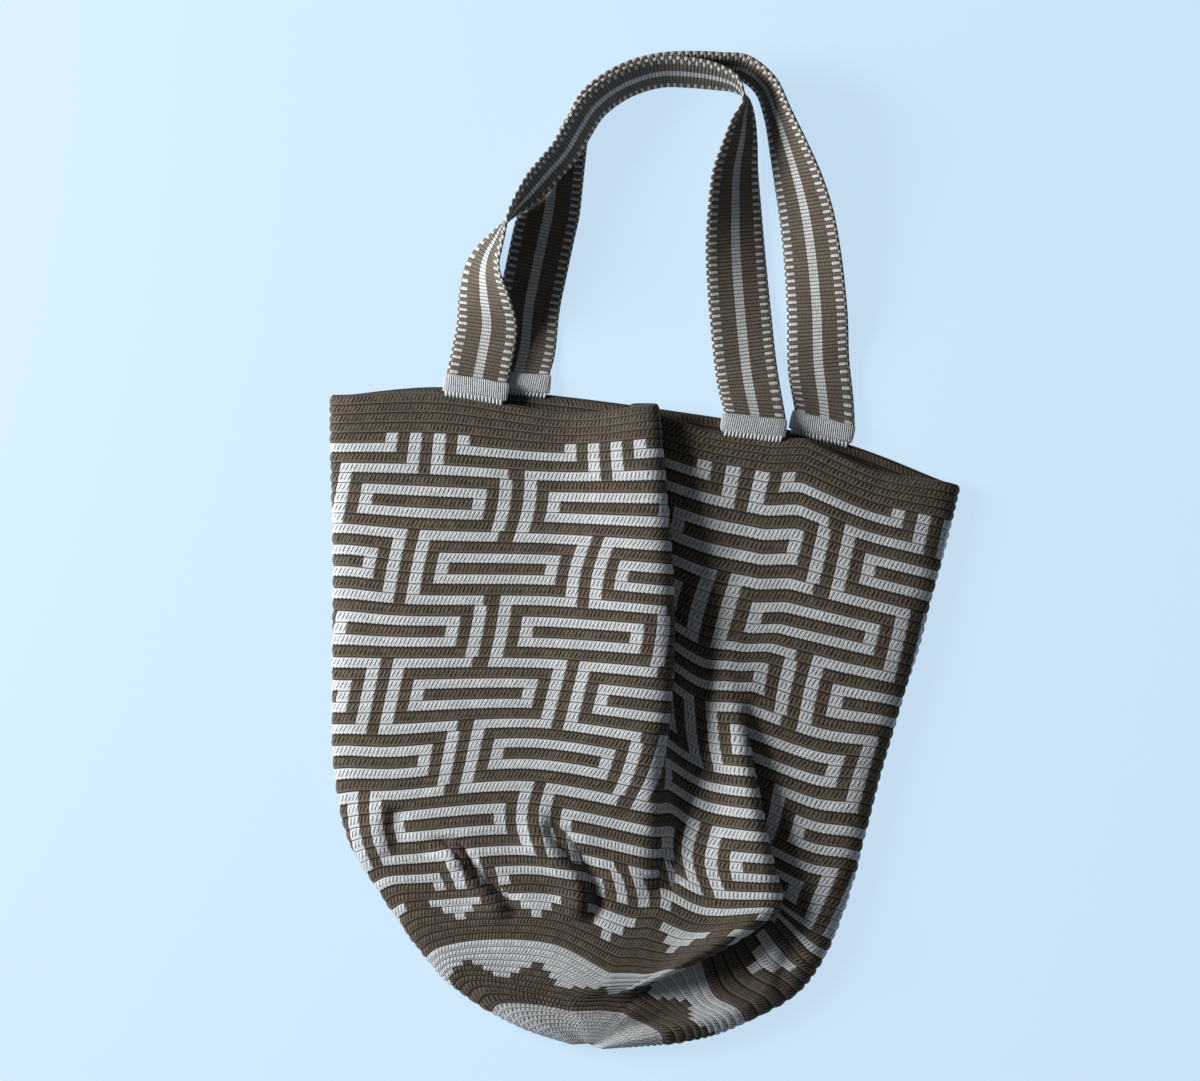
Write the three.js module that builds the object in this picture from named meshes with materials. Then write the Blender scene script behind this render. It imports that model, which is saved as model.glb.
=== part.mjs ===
// A crocheted bag with two webbing handles, lying on its back.
// Millimetres. +X runs across the bag, +Y from the base to the handles, +Z up from the ground.
import * as THREE from 'three';
import { ParametricGeometry } from 'three/addons/geometries/ParametricGeometry.js';
import { mergeVertices } from 'three/addons/utils/BufferGeometryUtils.js';

// Driving dimensions
const MOUTH_WIDTH = 362; // across the mouth, laid flat
const BODY_LENGTH = 377; // bottom edge to the left corner of the mouth
const HANDLE_REACH = 199; // mouth corner to the top of the handles
const FABRIC = 3; // crochet wall
const LAYER_AIR = 3; // air between two layers of cloth
const STRAP_WIDTH = 36;
const STRAP_THICKNESS = 2.4;
const WRAP_LENGTH = 8; // yarn wrap along the strap
const WRAP_WALL = 1.5;
const YARN = 1.4; // seam yarn
const SEAM_GAP = 3.8; // strap end to the edge of the mouth
const SEAM_STITCHES = 7;
const CLEARANCE = 0.3;

// The lie of the cloth is drawn on a plan grid: this many squares make the widths and lengths above.
const PLAN_WIDTH = 624;
const PLAN_LENGTH = 650;
const PLAN_HANDLE = 344;
const LAST_ROUND = 70; // crochet rounds from the mouth to the centre of the base
const INNER_LAST_ROUND = 66.5;

const planX = (x) => (x / PLAN_WIDTH - 0.5) * MOUTH_WIDTH;
const planY = (y) => (y < PLAN_LENGTH
  ? (y / PLAN_LENGTH) * BODY_LENGTH
  : BODY_LENGTH + ((y - PLAN_LENGTH) / PLAN_HANDLE) * HANDLE_REACH);
const layerZ = (layer) => FABRIC / 2 + layer * (FABRIC + LAYER_AIR);

// Lines down the cloth from the mouth to the centre of the base: [round, x, y, layer]. An edge
// also has the way into the bag (degrees).
const LEFT_EDGE = [
  [0, 0, 650, 0.75, 0], [4, 0, 613, 0.75, 0], [16.5, 3, 486, 0.8, 0], [28.5, 2, 350, 0.8, 0],
  [34.5, 3, 284, 0.8, 5], [40.5, 17, 211, 0.8, 18], [46.5, 52, 151, 0.8, 32], [54, 95, 91, 0.8, 42],
  [62, 136, 52, 0.75, 50], [66, 190, 20, 0.7, 66], [70, 257, 0, 0.6, 90],
];
const LEFT_CROWN = [
  [0, 107, 652, 1.6], [4, 104, 613, 2], [16.5, 81, 479, 2.2], [28.5, 59, 351, 2.2], [34.5, 60, 284, 2.2],
  [40.5, 76, 221, 2.3], [46.5, 98, 160, 1.8], [54, 147, 108, 1.9], [62, 195, 56, 1.5], [66, 225, 29, 1.2],
  [70, 257, 0, 0.6],
];
const MIDDLE_CROWN = [
  [0, 240, 632, 1.5], [4, 236, 602, 1.9], [16.5, 220, 476, 2.3], [28.5, 205, 353, 2.4], [34.5, 200, 294, 2.6],
  [40.5, 195, 228, 2.9], [46.5, 214, 168, 2.6], [54, 222, 104, 2.6], [62, 235, 48, 1.8], [66, 246, 27, 1.3],
  [70, 257, 0, 0.6],
];
const TROUGH = [
  [0, 372, 616, 1.5], [4, 374, 586, 1.5], [16.5, 372, 438, 1.3], [28.5, 368, 312, 1.3], [34.5, 372, 252, 1.7],
  [40.5, 368, 186, 2.3], [46.5, 368, 128, 2.8], [50.5, 340, 98, 2.9], [54, 318, 75, 2.9], [62, 272, 48, 1.9],
  [66, 264, 27, 1.4], [70, 257, 0, 0.6],
];
const RIGHT_CROWN = [
  [0, 547, 574, 1.5], [4, 540, 544, 1.6], [16.5, 510, 414, 1.8], [28.5, 486, 278, 1.6], [34.5, 480, 210, 1.5],
  [40.5, 474, 150, 1.4], [46.5, 466, 100, 1.3], [50.5, 422, 78, 1.2], [54, 382, 52, 1.2], [62, 328, 30, 1.2],
  [66, 292, 18, 1.1], [70, 257, 0, 0.6],
];
const RIGHT_EDGE = [
  [0, 624, 560, 0.75, 165], [4, 616, 526, 0.75, 165], [16.5, 582, 396, 0.8, 164], [28.5, 544, 270, 0.8, 165],
  [34.5, 527, 201, 0.8, 164], [40.5, 510, 141, 0.8, 160], [46.5, 485, 84, 0.8, 148], [50.5, 458, 52, 0.8, 132],
  [54, 412, 27, 0.8, 116], [62, 352, 8, 0.75, 104], [66, 306, 2, 0.7, 96], [70, 257, 0, 0.6, 90],
];
const BACK_RIGHT = [
  [0, 507, 603, 0], [4, 503, 567, 0], [16.5, 478, 430, 0], [28.5, 455, 302, 0], [40.5, 425, 172, 0],
  [46.5, 400, 116, 0], [54, 344, 66, 0], [62, 305, 32, 0], [66, 283, 16, 0], [70, 257, 0, 0],
];
const BACK_MIDDLE = [
  [0, 327, 636, 0], [4, 325, 600, 0], [16.5, 318, 460, 0], [28.5, 308, 334, 0], [40.5, 290, 206, 0],
  [46.5, 284, 146, 0], [54, 268, 88, 0], [62, 258, 46, 0], [66, 256, 25, 0], [70, 257, 0, 0],
];
const BACK_LEFT = [
  [0, 107, 658, 0], [4, 104, 621, 0], [16.5, 94, 480, 0], [28.5, 88, 352, 0], [40.5, 98, 226, 0],
  [46.5, 118, 164, 0], [54, 158, 102, 0], [62, 200, 54, 0], [66, 226, 28, 0], [70, 257, 0, 0],
];

// Folds: the nose line of each, with the way back under the cloth (degrees), how far the tuck
// runs back (negative where the fold opens out), and the layers of its crest and its foot:
// [round, x, y, way, tuck, crest, foot].
const PLEAT = [
  [0, 324, 641, 180, 25, 3.1, 1.1], [4, 327, 608, 180, 24, 3.3, 1.1], [16.5, 338, 466, 180, 24, 3.5, 1.1],
  [22.5, 339, 406, 180, 20, 3.5, 1.1], [28.5, 336, 340, 180, 12, 3.4, 1.2], [34.5, 327, 274, 180, -4, 3, 1.8],
  [40.5, 320, 205, 180, -16, 2.9, 2.3], [46.5, 305, 145, 180, -22, 2.8, 2.7], [54, 278, 76, 180, -12, 2.8, 2.8],
  [62, 250, 47, 180, -5, 1.9, 1.9], [66, 252, 27, 180, -3, 1.4, 1.4], [70, 257, 0, 180, 0, 0.6, 0.6],
];
const SIDE_FOLD = [
  [0, 440, 606, 180, -34, 1.6, 1.6], [4, 436, 574, 180, -34, 1.6, 1.7], [16.5, 420, 428, 180, -30, 1.6, 1.7],
  [22.5, 404, 370, 180, -20, 2, 1.7], [28.5, 414, 306, 180, 8, 3, 1.3], [34.5, 426, 243, 180, 17, 3.5, 1.1],
  [40.5, 440, 178, 176, 22, 3.8, 1.1], [44, 447, 148, 160, 22, 3.9, 1.1], [46.5, 437, 133, 130, 21, 3.9, 1.1],
  [50.5, 390, 102, 78, 20, 3.7, 1], [54, 354, 84, 56, 17, 3.4, 1], [58, 316, 66, 40, 6, 2.7, 1.2],
  [62, 290, 46, 0, 8, 1.8, 1.6], [66, 274, 26, 0, 5, 1.4, 1.3], [70, 257, 0, 0, 0, 0.6, 0.6],
];
const CREST_SET = 10; // crest behind the nose, plan squares
const FOOT_SET = 9; // foot beyond the root
const EDGE_SET = 12; // where an outer edge has turned flat
const TURN_SHARE = 0.35; // most of a tight turn's radius that the wall takes up inside

const follow = (line) => {
  const size = line[0].length - 1;
  const spline = new THREE.CubicInterpolant(
    Float64Array.from(line, (row) => row[0]),
    Float64Array.from(line.flatMap((row) => row.slice(1))),
    size,
    new Float64Array(size),
  );
  return (round) => Array.from(spline.evaluate(round));
};
const single = (line) => {
  const at = follow(line);
  return (round) => {
    const [x, y, layer] = at(round);
    return [new THREE.Vector3(planX(x), planY(y), layerZ(layer))];
  };
};
const folded = (line, before, after) => {
  const at = follow(line);
  const [atBefore, atAfter] = [follow(before), follow(after)];
  return (round) => {
    const [x, y, way, tuck, crest, foot] = at(round);
    const fade = Math.min(1, (LAST_ROUND - round) / 8);
    const angle = THREE.MathUtils.degToRad(way);
    const nose = new THREE.Vector2(x, y);
    const root = new THREE.Vector2(Math.cos(angle), Math.sin(angle)).multiplyScalar(tuck).add(nose);
    const towards = (from, [px, py], distance) => (
      new THREE.Vector2(px, py).sub(from).setLength(distance * fade).add(from));
    const point = (p, layer) => new THREE.Vector3(planX(p.x), planY(p.y), layerZ(layer));
    return [
      point(towards(nose, atBefore(round), CREST_SET), crest),
      point(nose, 0.75 * crest + 0.25 * foot),
      point(root, 0.25 * crest + 0.75 * foot),
      point(towards(root, atAfter(round), FOOT_SET), foot),
    ];
  };
};
// An outer edge turns round between the front layer and the back layer.
const rounded = (line, side) => {
  const at = follow(line);
  return (round) => {
    const [x, y, layer, way] = at(round);
    const fade = Math.min(1, (LAST_ROUND - round) / 8);
    const angle = THREE.MathUtils.degToRad(way);
    const point = (inset, height) => new THREE.Vector3(
      planX(x + inset * fade * Math.cos(angle)),
      planY(y + inset * fade * Math.sin(angle)),
      layerZ(height),
    );
    const turn = [point(EDGE_SET, 1.9 * layer), point(0, layer), point(EDGE_SET, 0)];
    return side > 0 ? turn : turn.reverse();
  };
};

const LINES = [
  rounded(LEFT_EDGE, -1), single(LEFT_CROWN), single(MIDDLE_CROWN), folded(PLEAT, MIDDLE_CROWN, TROUGH),
  single(TROUGH), folded(SIDE_FOLD, TROUGH, RIGHT_CROWN), single(RIGHT_CROWN), rounded(RIGHT_EDGE, 1), single(BACK_RIGHT),
  single(BACK_MIDDLE), single(BACK_LEFT),
];
const STRAND_COUNT = 21;

// One crochet round as a closed curve through all the lines.
const rounds = new Map();
const roundCurve = (round) => {
  if (!rounds.has(round)) {
    const points = LINES.flatMap((line) => line(round));
    rounds.set(round, new THREE.CatmullRomCurve3(points, true, 'centripetal'));
  }
  return rounds.get(round);
};
const cloth = (share, round) => {
  const p = roundCurve(round).getPoint(share);
  p.z = Math.max(p.z, FABRIC / 2);
  return p;
};
const clothNormal = (share, round) => {
  const du = 0.002;
  const dv = 0.25;
  const across = cloth((share + du) % 1, round).sub(cloth((share - du + 1) % 1, round));
  const down = cloth(share, Math.min(round + dv, LAST_ROUND - 0.4))
    .sub(cloth(share, Math.max(Math.min(round, LAST_ROUND - 0.7) - dv, 0)));
  return down.cross(across).normalize();
};

// Half the wall on one side of the cloth, less on the inside of a tight turn.
const halfWall = (share, round, outward) => {
  const e = 0.003;
  const step = Math.min(0.8, round, LAST_ROUND - 0.5 - round);
  const at = cloth(share, round);
  const pairs = [
    [cloth((share - e + 1) % 1, round), cloth((share + e) % 1, round)],
    [cloth(share, round - step), cloth(share, round + step)],
  ];
  const limits = pairs.map(([a, c]) => {
    const area = new THREE.Triangle(a, at, c).getArea();
    const radius = (a.distanceTo(at) * at.distanceTo(c) * c.distanceTo(a)) / Math.max(4 * area, 1e-9);
    const inside = a.clone().add(c).multiplyScalar(0.5).sub(at).dot(outward) > 0;
    return inside && area > 1e-6 ? TURN_SHARE * radius : FABRIC / 2;
  });
  return Math.min(FABRIC / 2, ...limits);
};

const closedBody = (name, geometry, material) => {
  const bare = geometry.clone();
  bare.deleteAttribute('normal');
  bare.deleteAttribute('uv');
  const merged = mergeVertices(bare, 1e-3);
  const index = merged.index.array;
  const kept = [];
  for (let i = 0; i < index.length; i += 3) {
    const [a, b, c] = [index[i], index[i + 1], index[i + 2]];
    if (a !== b && b !== c && c !== a) kept.push(a, b, c);
  }
  const corner = (i) => new THREE.Vector3().fromBufferAttribute(merged.getAttribute('position'), i);
  let volume = 0;
  for (let i = 0; i < kept.length; i += 3) {
    volume += corner(kept[i]).dot(corner(kept[i + 1]).cross(corner(kept[i + 2])));
  }
  merged.setIndex(volume < 0 ? kept.reverse() : kept);
  merged.computeVertexNormals();
  const mesh = new THREE.Mesh(merged, material);
  mesh.name = name;
  return mesh;
};

// The body: outer skin from the centre of the base to the mouth, then the inner skin back down.
const ROUND_STEPS = [
  0, 1.3, 4, 7, 10, 13, 16, 19, 22, 25, 28, 31, 34, 37, 40, 42.5, 45, 47, 49, 51, 53, 55, 57, 59.5, 62, 64.5, 67,
];
const FOLD_SEGMENTS = [5, 6, 7, 10, 11, 12];
const STRAND_SHARES = Array.from({ length: STRAND_COUNT }, (_, segment) => {
  const parts = FOLD_SEGMENTS.includes(segment) ? 4 : 3;
  return Array.from({ length: parts }, (__, i) => (segment + i / parts) / STRAND_COUNT);
}).flat();
const STRANDS = STRAND_SHARES.length;
const outerSteps = [LAST_ROUND, ...[...ROUND_STEPS].reverse()];
const innerSteps = [...ROUND_STEPS.filter((round) => round < INNER_LAST_ROUND), LAST_ROUND];
const skin = (share, step, target) => {
  const outer = step < outerSteps.length;
  const round = outer ? outerSteps[step] : innerSteps[step - outerSteps.length];
  if (round === LAST_ROUND && outer) {
    target.copy(cloth(0, LAST_ROUND - 0.01)).add(new THREE.Vector3(0, -FABRIC / 3, 0));
  } else if (round === LAST_ROUND) {
    const last = innerSteps[innerSteps.length - 2];
    target.set(0, 0, 0);
    STRAND_SHARES.forEach((at) => {
      target.add(cloth(at, last).addScaledVector(clothNormal(at, last), -FABRIC / 2));
    });
    target.divideScalar(STRANDS);
    target.y -= FABRIC / 2;
  } else {
    const outward = clothNormal(share, round).multiplyScalar(outer ? 1 : -1);
    target.copy(cloth(share, round)).addScaledVector(outward, halfWall(share, round, outward));
  }
};
const STEP_COUNT = outerSteps.length + innerSteps.length - 1;
const bodyGeometry = new ParametricGeometry(
  (u, v, target) => skin(STRAND_SHARES[Math.round(u * STRANDS) % STRANDS], Math.round(v * STEP_COUNT), target),
  STRANDS,
  STEP_COUNT,
);

// A body lofted through rings of points. A capped one is closed by the middles of its end rings.
const lofted = (rings, capped) => {
  const middle = (ring) => {
    const sum = ring.reduce((total, p) => total.add(p), new THREE.Vector3());
    return ring.map(() => sum.clone().divideScalar(ring.length));
  };
  const all = capped ? [middle(rings[0]), ...rings, middle(rings[rings.length - 1])] : [...rings, rings[0]];
  const count = rings[0].length;
  return new ParametricGeometry(
    (u, v, target) => target.copy(all[Math.round(v * (all.length - 1))][Math.round(u * count) % count]),
    count,
    all.length - 1,
  );
};

// Places on the edge of the mouth, found by x between two of the lines down the cloth.
const mouthPoint = (x, from, to) => {
  let [low, high] = [from / STRAND_COUNT, to / STRAND_COUNT];
  const rising = cloth(high, 0).x > cloth(low, 0).x;
  for (let i = 0; i < 40; i += 1) {
    const half = (low + high) / 2;
    if ((cloth(half, 0).x < x) === rising) low = half;
    else high = half;
  }
  return cloth(low, 0);
};
const FRONT_LEFT = [2, 4];
const FRONT_RIGHT = [9, 14];
const BACK = [17, 20];

// Where a strap end is sewn on: the foot is one edge of the strap, and the width runs to `side`.
const WRAP_HALF = STRAP_THICKNESS / 2 + CLEARANCE + WRAP_WALL;
const sewnEnd = (footX, side, stretch) => {
  const foot = mouthPoint(planX(footX), ...stretch);
  const far = mouthPoint(planX(footX) + side * STRAP_WIDTH, ...stretch);
  const width = far.clone().sub(foot).normalize();
  const away = new THREE.Vector3(-width.y, width.x, 0).multiplyScalar(side).normalize();
  const up = new THREE.Vector3().crossVectors(width, away).multiplyScalar(side).normalize();
  const shares = [0, 0.1, 0.2, 0.3, 0.4, 0.5, 0.6, 0.7, 0.8, 0.9, 1];
  const swells = shares.map((share) => (
    mouthPoint(planX(footX) + side * share * STRAP_WIDTH, ...stretch).sub(foot).dot(away)));
  const start = foot.clone().addScaledVector(away, SEAM_GAP + Math.max(...swells));
  start.z = Math.max(start.z, WRAP_HALF + CLEARANCE);
  return { foot: start, width, away, up, footX, side, stretch };
};

// A strap follows its foot edge: [x, y, lift, rise, flat, way]. Its width stands up from the foot
// by `rise` degrees, after a share `flat` that still lies on the ground. `way` is the plan
// direction of the standing share; without it the width stands square to the path.
const SECTION_SHARES = [0, 0.17, 0.34, 0.5, 0.66, 0.83, 1];
const BEND = STRAP_WIDTH / 4; // the turn from the lying share to the standing share
const strapRing = (foot, flatWay, flat, width, along) => {
  const flatWidth = flat * (STRAP_WIDTH + 2 * BEND) - BEND;
  const way = (w) => flatWay.clone()
    .lerp(width, THREE.MathUtils.smoothstep(w, flatWidth - BEND / 2, flatWidth + BEND / 2))
    .normalize();
  const upper = [];
  const lower = [];
  const p = foot.clone();
  SECTION_SHARES.forEach((share, i) => {
    const w = share * STRAP_WIDTH;
    const step = i ? w - SECTION_SHARES[i - 1] * STRAP_WIDTH : 0;
    p.addScaledVector(way(w - step / 2), step);
    const normal = new THREE.Vector3().crossVectors(along, way(w)).normalize();
    const bead = share === 0 || share === 1 ? 0.55 : 1;
    upper.push(p.clone().addScaledVector(normal, (bead * STRAP_THICKNESS) / 2));
    lower.unshift(p.clone().addScaledVector(normal, (-bead * STRAP_THICKNESS) / 2));
  });
  return [...upper, ...lower];
};
const strapRings = (stations, first, last, inward) => {
  const straight = WRAP_LENGTH + 1;
  const path = stations.map(([x, y, lift]) => (
    new THREE.Vector3(planX(x), planY(y), lift + STRAP_THICKNESS / 2)));
  const leave = first.foot.clone().addScaledVector(first.away, straight);
  const arrive = last.foot.clone().addScaledVector(last.away, straight);
  const feet = [leave, ...path, arrive];
  const curve = new THREE.CatmullRomCurve3(feet, false, 'centripetal');
  const count = feet.length - 1;
  const square = feet.map((_, i) => {
    const t = curve.getTangent(i / count);
    return new THREE.Vector3(t.y, -t.x, 0).multiplyScalar(inward).normalize();
  });
  square[0] = first.width.clone();
  square[count] = last.width.clone();
  const widths = square.map((flatWay, i) => {
    if (i === 0 || i === count) return flatWay;
    const [, , , rise, , way] = stations[i - 1];
    const turned = way === undefined
      ? flatWay
      : new THREE.Vector3(Math.cos(THREE.MathUtils.degToRad(way)), Math.sin(THREE.MathUtils.degToRad(way)), 0);
    const angle = THREE.MathUtils.degToRad(rise);
    return turned.clone().multiplyScalar(Math.cos(angle)).add(new THREE.Vector3(0, 0, Math.sin(angle)));
  });
  const flats = feet.map((_, i) => (i === 0 ? stations[0][4] : i === count ? 0 : stations[i - 1][4]));
  const flatCurve = new THREE.CatmullRomCurve3(square, false, 'catmullrom', 0.5);
  const widthCurve = new THREE.CatmullRomCurve3(widths, false, 'catmullrom', 0.5);
  const rings = [];
  const end = (e, s) => strapRing(
    e.foot.clone().addScaledVector(e.away, s), e.width, 0, e.width,
    e === first ? e.away : e.away.clone().negate(),
  );
  rings.push(end(first, 0), end(first, WRAP_LENGTH));
  feet.slice(1).forEach((_, k) => {
    const parts = flats[k] === flats[k + 1] ? 2 : 5;
    for (let i = 0; i < parts; i += 1) {
      const t = (k + i / parts) / count;
      const flat = THREE.MathUtils.lerp(flats[k], flats[k + 1], i / parts);
      const width = widthCurve.getPoint(t).normalize();
      const flatWay = flatCurve.getPoint(t).normalize();
      rings.push(strapRing(curve.getPoint(t), flatWay, flat, width, curve.getTangent(t)));
    }
  });
  rings.push(end(last, WRAP_LENGTH), end(last, 0));
  return rings;
};

// The yarn wrapped round a strap end, a sleeve with the strap through it.
const wrapRings = (e) => {
  const ring = (s, half, reach) => {
    const middle = e.foot.clone().addScaledVector(e.away, s).addScaledVector(e.width, STRAP_WIDTH / 2);
    const corners = [[-1, -0.4], [-1, 0.4], [-0.97, 1], [0, 1], [0.97, 1], [1, 0.4], [1, -0.4], [0.97, -1], [0, -1],
      [-0.97, -1]];
    return corners.map(([a, b]) => middle.clone()
      .addScaledVector(e.width, a * reach)
      .addScaledVector(e.up, b * half));
  };
  const slot = STRAP_THICKNESS / 2 + CLEARANCE;
  const slotReach = STRAP_WIDTH / 2 + CLEARANCE;
  const bulge = [[0, 0.6], [0.3, 1], [0.7, 1], [1, 0.6]];
  return [
    ...bulge.map(([s, wall]) => ring(s * WRAP_LENGTH, slot + wall * WRAP_WALL, slotReach + wall * WRAP_WALL)),
    ring(WRAP_LENGTH, slot, slotReach),
    ring(0, slot, slotReach),
  ];
};

// The whip stitch between a strap end and the edge of the mouth: one yarn that runs to and fro.
const seamRings = (e) => {
  const near = CLEARANCE + YARN / 2;
  const points = [];
  for (let i = 0; i <= SEAM_STITCHES * 2; i += 1) {
    const share = (i + 0.5) / (SEAM_STITCHES * 2 + 1);
    const end = e.foot.clone().addScaledVector(e.width, share * STRAP_WIDTH);
    if (i % 2) {
      points.push(end.addScaledVector(e.away, -near));
    } else {
      const edge = mouthPoint(planX(e.footX) + e.side * share * STRAP_WIDTH, ...e.stretch);
      points.push(edge.addScaledVector(e.away, near + 0.1).setZ(Math.max(edge.z, YARN / 2)));
    }
  }
  const curve = new THREE.CatmullRomCurve3(points, false, 'centripetal');
  const steps = SEAM_STITCHES * 6;
  const frames = curve.computeFrenetFrames(steps, false);
  const sides = 6;
  return Array.from({ length: steps + 1 }, (_, i) => {
    const p = curve.getPointAt(i / steps);
    return Array.from({ length: sides }, (__, k) => {
      const angle = (k / sides) * 2 * Math.PI;
      return p.clone()
        .addScaledVector(frames.normals[i], (Math.cos(angle) * YARN) / 2)
        .addScaledVector(frames.binormals[i], (Math.sin(angle) * YARN) / 2);
    });
  });
};

const FRONT_STATIONS = [
  [119, 696, 6, 4, 0], [124, 722, 3.8, 10, 0], [127, 756, 3.2, 34, 0], [134, 784, 3, 50, 0], [146, 801, 3, 63, 0],
  [158, 812, 3, 73, 0], [180, 830, 3, 94, 0], [208, 848, 3, 112, 0], [225, 866, 3, 114, 0], [242, 885, 3, 115, 0],
  [259, 904, 3, 115, 0], [277, 934, 2, 115, 0], [301, 949, 0.8, 115, 0], [329, 959, 0.4, 115, 0],
  [357, 960, 0.3, 114, 0], [382, 958, 0.3, 110, 0], [401, 956, 0.3, 100, 0], [414, 949, 0.3, 84, 0],
  [421, 931, 0.3, 68, 0], [424, 906, 0.3, 56, 0], [425, 876, 0.3, 42, 0], [428, 841, 0.3, 30, 0],
  [432, 796, 0.3, 16, 0], [438, 736, 0.8, 5, 0], [444, 680, 4, 0, 0],
];
const ARCH_WAY = 138; // plan direction in which the left of the arch leans
const REAR_STATIONS = [
  [222, 691, 0.8, 65, 1, ARCH_WAY], [227, 736, 0.3, 65, 1, ARCH_WAY], [234, 771, 0.3, 65, 1, ARCH_WAY],
  [241, 804, 0.3, 65, 1, ARCH_WAY], [247, 832, 0.3, 65, 0.83, ARCH_WAY], [249, 850, 0.3, 65, 0.67, ARCH_WAY],
  [251, 869, 0.3, 65, 0.5, ARCH_WAY], [253, 888, 0.3, 65, 0.33, ARCH_WAY], [256, 909, 0.3, 65, 0.17, ARCH_WAY],
  [271, 940, 0.3, 65, 0], [296, 957, 0.3, 65, 0], [326, 967, 0.3, 65, 0], [357, 970, 0.3, 66, 0],
  [384, 969, 0.3, 68, 0], [407, 967, 0.3, 70, 0], [423, 954, 0.3, 70, 0], [432, 928, 0.3, 66, 0],
  [437, 896, 0.3, 54, 0], [442, 861, 0.3, 41, 0], [447, 826, 0.3, 31, 0], [451, 786, 0.3, 24, 0],
  [454, 736, 0.3, 16, 0], [455, 676, 0.8, 4, 0],
];
// Where the foot edges of the straps meet the mouth, plan squares from the left corner.
const FRONT_FEET = [111, 450];
const REAR_FEET = [215, 456];
const FRONT_ENDS = [sewnEnd(FRONT_FEET[0], 1, FRONT_LEFT), sewnEnd(FRONT_FEET[1], -1, FRONT_RIGHT)];
const REAR_ENDS = [sewnEnd(REAR_FEET[0], -1, BACK), sewnEnd(REAR_FEET[1], 1, BACK)];

const group = new THREE.Group();
group.name = 'crocheted_bag';
const crochet = new THREE.MeshStandardMaterial({ color: 0x48413a, roughness: 0.9 });
const webbing = () => new THREE.MeshStandardMaterial({ color: 0x514a41, roughness: 0.85 });
const yarn = () => new THREE.MeshStandardMaterial({ color: 0xaab2ba, roughness: 0.85 });
group.add(
  closedBody('bag_body', bodyGeometry, crochet),
  closedBody('front_strap', lofted(strapRings(FRONT_STATIONS, ...FRONT_ENDS, 1), true), webbing()),
  closedBody('rear_strap', lofted(strapRings(REAR_STATIONS, ...REAR_ENDS, -1), true), webbing()),
);
[['front', FRONT_ENDS], ['rear', REAR_ENDS]].forEach(([strap, ends]) => {
  ends.forEach((e, i) => {
    const place = `${strap}_${i ? 'right' : 'left'}`;
    group.add(
      closedBody(`${place}_wrap`, lofted(wrapRings(e), false), yarn()),
      closedBody(`${place}_seam`, lofted(seamRings(e), true), yarn()),
    );
  });
});

// The origin sits under the middle of the whole object.
const box = new THREE.Box3().setFromObject(group);
const middle = box.getCenter(new THREE.Vector3());
group.children.forEach((mesh) => mesh.geometry.translate(-middle.x, -middle.y, -box.min.z));

export default group;
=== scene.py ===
import math

import bpy
import numpy as np
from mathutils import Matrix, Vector


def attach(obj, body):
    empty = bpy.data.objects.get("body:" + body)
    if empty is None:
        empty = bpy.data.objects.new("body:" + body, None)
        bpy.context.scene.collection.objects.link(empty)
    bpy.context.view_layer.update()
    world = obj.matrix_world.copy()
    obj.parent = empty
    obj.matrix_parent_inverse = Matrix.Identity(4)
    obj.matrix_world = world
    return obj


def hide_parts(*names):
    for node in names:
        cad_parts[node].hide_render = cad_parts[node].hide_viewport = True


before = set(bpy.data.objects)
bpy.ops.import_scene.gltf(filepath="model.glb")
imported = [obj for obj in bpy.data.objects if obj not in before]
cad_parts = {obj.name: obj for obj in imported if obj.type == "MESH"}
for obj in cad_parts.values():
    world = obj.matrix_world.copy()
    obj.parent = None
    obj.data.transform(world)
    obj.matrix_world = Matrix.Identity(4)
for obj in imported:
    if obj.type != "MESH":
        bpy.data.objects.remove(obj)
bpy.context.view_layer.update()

# Sizes in millimetres, as on the solid part.
MOUTH_WIDTH = 362.0
BODY_LENGTH = 377.0
HANDLE_REACH = 199.0
FABRIC = 3.0
LAYER_AIR = 3.0
STRAP_WIDTH = 36.0
STRAP_THICKNESS = 2.4
WRAP_LENGTH = 8.0
WRAP_WALL = 1.5
SEAM_GAP = 3.8
CLEARANCE = 0.3
SHIFT_Y = -288.0
GROUND_GAP = 0.05
MM = 0.001

# The plan of the folds, in squares of its own.
PLAN_WIDTH = 624.0
PLAN_LENGTH = 650.0
PLAN_HANDLE = 344.0
CREST_SET = 10.0
FOOT_SET = 9.0
EDGE_SET = 12.0
EDGE_TOP = 1.9
NOSE_SHARE = 0.75

# Crochet gauge: a block of the pattern is three stitches wide and one round high.
BLOCKS_ROUND = 105
STITCHES_PER_BLOCK = 3
COLUMNS = BLOCKS_ROUND * STITCHES_PER_BLOCK
ROWS_PER_ROUND = 4
SIDE_ROUNDS = 47
BASE_ROUNDS = 18.0
LAST_ROUND = 70.0
CLOSING_ROUNDS = 8.0

# Lengths too small to divide by.
TINY_GAP = 1e-4
TINY_STEP = 1e-6
TINY_LENGTH = 1e-9

# Lines down the cloth, [round, x, y, layer], edges with the way into the bag.
LEFT_EDGE = [
    [0, 0, 650, 0.75, 0], [4, 0, 613, 0.75, 0], [16.5, 3, 486, 0.8, 0], [28.5, 2, 350, 0.8, 0],
    [34.5, 3, 284, 0.8, 5], [40.5, 17, 211, 0.8, 18], [46.5, 52, 151, 0.8, 32], [54, 95, 91, 0.8, 42],
    [62, 136, 52, 0.75, 50], [66, 190, 20, 0.7, 66], [70, 257, 0, 0.6, 90],
]
LEFT_CROWN = [
    [0, 107, 652, 1.6], [4, 104, 613, 2], [16.5, 81, 479, 2.2], [28.5, 59, 351, 2.2],
    [34.5, 60, 284, 2.2], [40.5, 76, 221, 2.3], [46.5, 98, 160, 1.8], [54, 147, 108, 1.9],
    [62, 195, 56, 1.5], [66, 225, 29, 1.2], [70, 257, 0, 0.6],
]
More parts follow.
